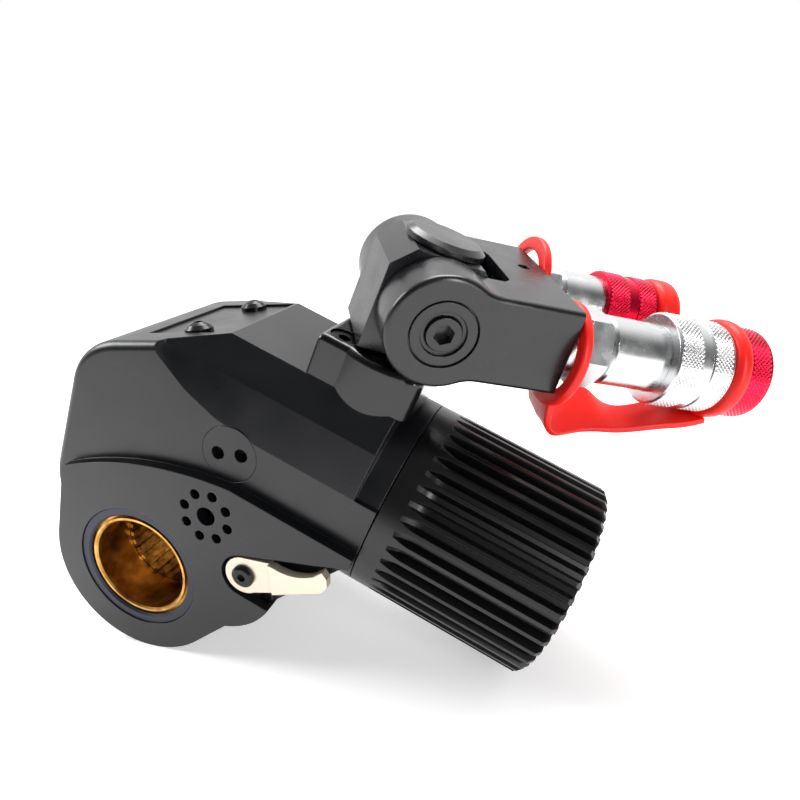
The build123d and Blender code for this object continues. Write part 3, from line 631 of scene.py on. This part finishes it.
def pawl_springs(material):
    """Two coil springs between the drive pawl and its bridge."""
    start_clean()
    turns = 6
    per_turn = 16
    for number, y in enumerate((-spring_y, spring_y)):
        line = bpy.data.curves.new(f"pawl_spring_{number + 1}", "CURVE")
        line.dimensions = "3D"
        line.bevel_depth = spring_wire / 2
        line.bevel_resolution = 2
        line.use_fill_caps = True
        path = line.splines.new("POLY")
        path.points.add(turns * per_turn)
        low = spring_foot + spring_wire / 2
        rise = spring_head - spring_wire / 2 - low
        for step in range(turns * per_turn + 1):
            angle = 2 * pi * step / per_turn
            x = spring_middle + (spring_r - spring_wire / 2) * cos(angle)
            across = y + (spring_r - spring_wire / 2) * sin(angle)
            path.points[step].co = (x, across, low + rise * step / (turns * per_turn), 1)
        piece = bpy.data.objects.new(line.name, line)
        bpy.context.scene.collection.objects.link(piece)
        start_clean()
        piece.select_set(True)
        bpy.context.view_layer.objects.active = piece
        bpy.ops.object.convert(target="MESH")
        lay(piece, crank_frame())
        finish_piece(piece, "drive_pawl", material, ("pawl_springs",))
        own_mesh(piece)


# Dust cap straps


def strap_ring(name, side, hang, material, node):
    """The strap's ring, which hangs loose about the coupler's neck by a (rise, lean)."""
    rise, lean = hang
    edge, soft = ring_edge, ring_soft
    profile = [
        (edge, ring_bore_r), (soft, ring_bore_r + soft), (0, ring_bore_r + edge),
        (0, ring_r - edge), (soft, ring_r - soft), (edge, ring_r),
        (ring_thick - edge, ring_r), (ring_thick - soft, ring_r - soft), (ring_thick, ring_r - edge),
        (ring_thick, ring_bore_r + edge), (ring_thick - soft, ring_bore_r + soft),
        (ring_thick - edge, ring_bore_r), (edge, ring_bore_r),
    ]
    piece = turned(name, profile, 72)
    smooth(piece, 50)
    place = yoke_frame() @ Matrix.Translation((ring_x, side * coupler_y, rise))
    turn = Matrix.Rotation(radians(90 + lean), 4, "Y")
    lay(piece, place @ turn @ Matrix.Translation((0, 0, -ring_thick / 2)))
    return finish_piece(piece, "yoke", material, (node,))


def strap_ribbon(name, ribbon, material, node):
    """The flat ribbon from a ring to its cap."""
    start_clean()
    stations = ribbon["stations"]
    last = len(stations) - 1
    bpy.ops.mesh.primitive_grid_add(x_subdivisions=last, y_subdivisions=2, size=2)
    piece = bpy.context.object
    piece.name = name
    mesh = edit_mesh(piece)
    for corner in mesh.verts:
        x, y, z, lean = stations[round((corner.co.x + 1) * last / 2)]
        reach = corner.co.y * ribbon["width"] / 2
        corner.co = (x, y + reach * cos(radians(lean)), z + reach * sin(radians(lean)))
    bmesh.update_edit_mesh(piece.data)
    bpy.ops.mesh.select_all(action="SELECT")
    bpy.ops.mesh.normals_make_consistent(inside=False)
    bpy.ops.object.mode_set(mode="OBJECT")
    wall = piece.modifiers.new("wall", "SOLIDIFY")
    wall.thickness = ribbon_thick
    wall.offset = 0
    edge = piece.modifiers.new("edge", "BEVEL")
    edge.width = ribbon_edge
    edge.segments = 2
    edge.angle_limit = radians(50)
    curve = piece.modifiers.new("curve", "SUBSURF")
    curve.levels = 2
    curve.render_levels = 2
    for step in ("wall", "edge", "curve"):
        bpy.ops.object.modifier_apply(modifier=step)
    smooth(piece, 50)
    place = yoke_frame()
    lay(piece, place)
    piece.data.materials.append(material)
    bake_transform(piece)
    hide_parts(node)
    return piece


def straps(rubber):
    strap_ring("near_strap_ring", -1, near_ring_hang, rubber, "cap_strap_near")
    strap_ribbon("near_strap_ribbon", near_ribbon, rubber, "cap_strap_near")
    strap_ring("far_strap_ring", 1, far_ring_hang, rubber, "cap_strap_far")
    strap_ribbon("far_strap_ribbon", far_ribbon, rubber, "cap_strap_far")


# Floor, lamps and camera


def floor():
    start_clean()
    bpy.ops.mesh.primitive_plane_add(size=card_size, location=(0, 0, -nose_r * mm))
    card = bpy.context.object
    card.name = "white_card"
    card.data.materials.append(white_paper())


def softbox(name, place, aim, size, power):
    start_clean()
    bpy.ops.object.light_add(type="AREA", location=place)
    lamp = bpy.context.object
    lamp.name = name
    lamp.data.shape = "RECTANGLE"
    lamp.data.size, lamp.data.size_y = size
    lamp.data.energy = power
    lamp.rotation_euler = (Vector(aim) - Vector(place)).to_track_quat("-Z", "Y").to_euler()


def studio():
    """A white backdrop behind the wrench and a dim room behind the camera.

    The camera sees white all round, as the photograph does.
    """
    world = bpy.data.worlds.new("white_studio")
    world.use_nodes = True
    world.node_tree.nodes.clear()
    way = add_node(world, "ShaderNodeTexCoord").outputs["Generated"]
    forward = (-sin(radians(camera_turn[2])), cos(radians(camera_turn[2])), 0.15)
    ahead = add_node(world, "ShaderNodeVectorMath", {0: way, 1: forward}, operation="DOT_PRODUCT")
    room = add_node(world, "ShaderNodeMapRange", {
        "Value": ahead.outputs["Value"], "From Min": -0.35, "From Max": 0.55, "To Min": 0.1, "To Max": 1.15,
    }, interpolation_type="SMOOTHSTEP")
    seen = add_node(world, "ShaderNodeLightPath")
    level = add_node(world, "ShaderNodeMix", {
        0: seen.outputs["Is Camera Ray"], 2: room.outputs["Result"], 3: 1.0,
    }, data_type="FLOAT")
    sky = add_node(world, "ShaderNodeBackground", {"Strength": level.outputs[0]})
    sky.inputs["Color"].default_value = (1, 1, 1, 1)
    add_node(world, "ShaderNodeOutputWorld", {"Surface": sky.outputs["Background"]})
    bpy.context.scene.world = world
    softbox("lamp_left", (-0.7, -0.15, 0.6), lamps_aim, (0.4, 0.4), 6.0)
    softbox("lamp_top", (0.1, 0.35, 0.8), lamps_aim, (0.6, 0.4), 7.0)
    softbox("lamp_right", (0.75, -0.55, 0.3), lamps_aim, (0.12, 0.6), 3.5)


def camera():
    bpy.ops.object.camera_add()
    view = bpy.context.object
    view.name = "camera"
    view.location = Vector(camera_place) * mm
    view.rotation_euler = [radians(angle) for angle in camera_turn]
    view.data.lens = camera_lens
    view.data.clip_start = 0.01
    bpy.context.scene.camera = view
    bpy.context.scene.view_settings.view_transform = "Standard"


def dress_solids(finishes):
    """Give every solid that stays in view its own finish."""
    for slot, material in finishes.items():
        for entry in frame["record"]["subparts"]:
            if entry["material_slot"] == slot:
                solid = frame["nodes"][entry["node"]]
                solid.data.materials.clear()
                solid.data.materials.append(material)


def build():
    zinc = bright_zinc()
    crimson = crimson_anodise()
    rubber = moulded_red_rubber()
    steel = ground_steel()
    oxide = polished_black_oxide()
    bronze = bored_bronze()
    finishes = {
        "head_black": blasted_black_steel(),
        "barrel_black": machined_black_steel(),
        "base_gloss": gloss_black_enamel(),
        "swivel_black": oxide,
        "screw_black": black_screw_steel(),
        "bronze": bronze,
        "ring_grey": phosphated_ring_steel(),
        "hard_steel": steel,
        "spring_steel": steel,
        "seal_rubber": nitrile_seal(),
        "lever_nickel": satin_nickel(),
        "coupler_zinc": zinc,
        "collar_crimson": crimson,
        "strap_rubber": rubber,
    }
    dress_solids(finishes)
    # The ratchet's spline gets a painted reflection of the bronze bush around it.
    wheel = frame["nodes"]["ratchet"]
    wheel.data.materials.clear()
    wheel.data.materials.append(spline_steel_painted_bronze_reflection())
    screw_collar(
        "near_screw_collar", near_collar, -1, "collar_near", zinc, "coupler_collar_near",
    )
    screw_collar(
        "far_screw_collar", far_collar, 1, "collar_far", crimson, "coupler_collar_far",
    )
    near_dust_cap(crimson)
    dust_caps(rubber)
    straps(rubber)
    pawl_springs(steel)


camera()
floor()
studio()
build()
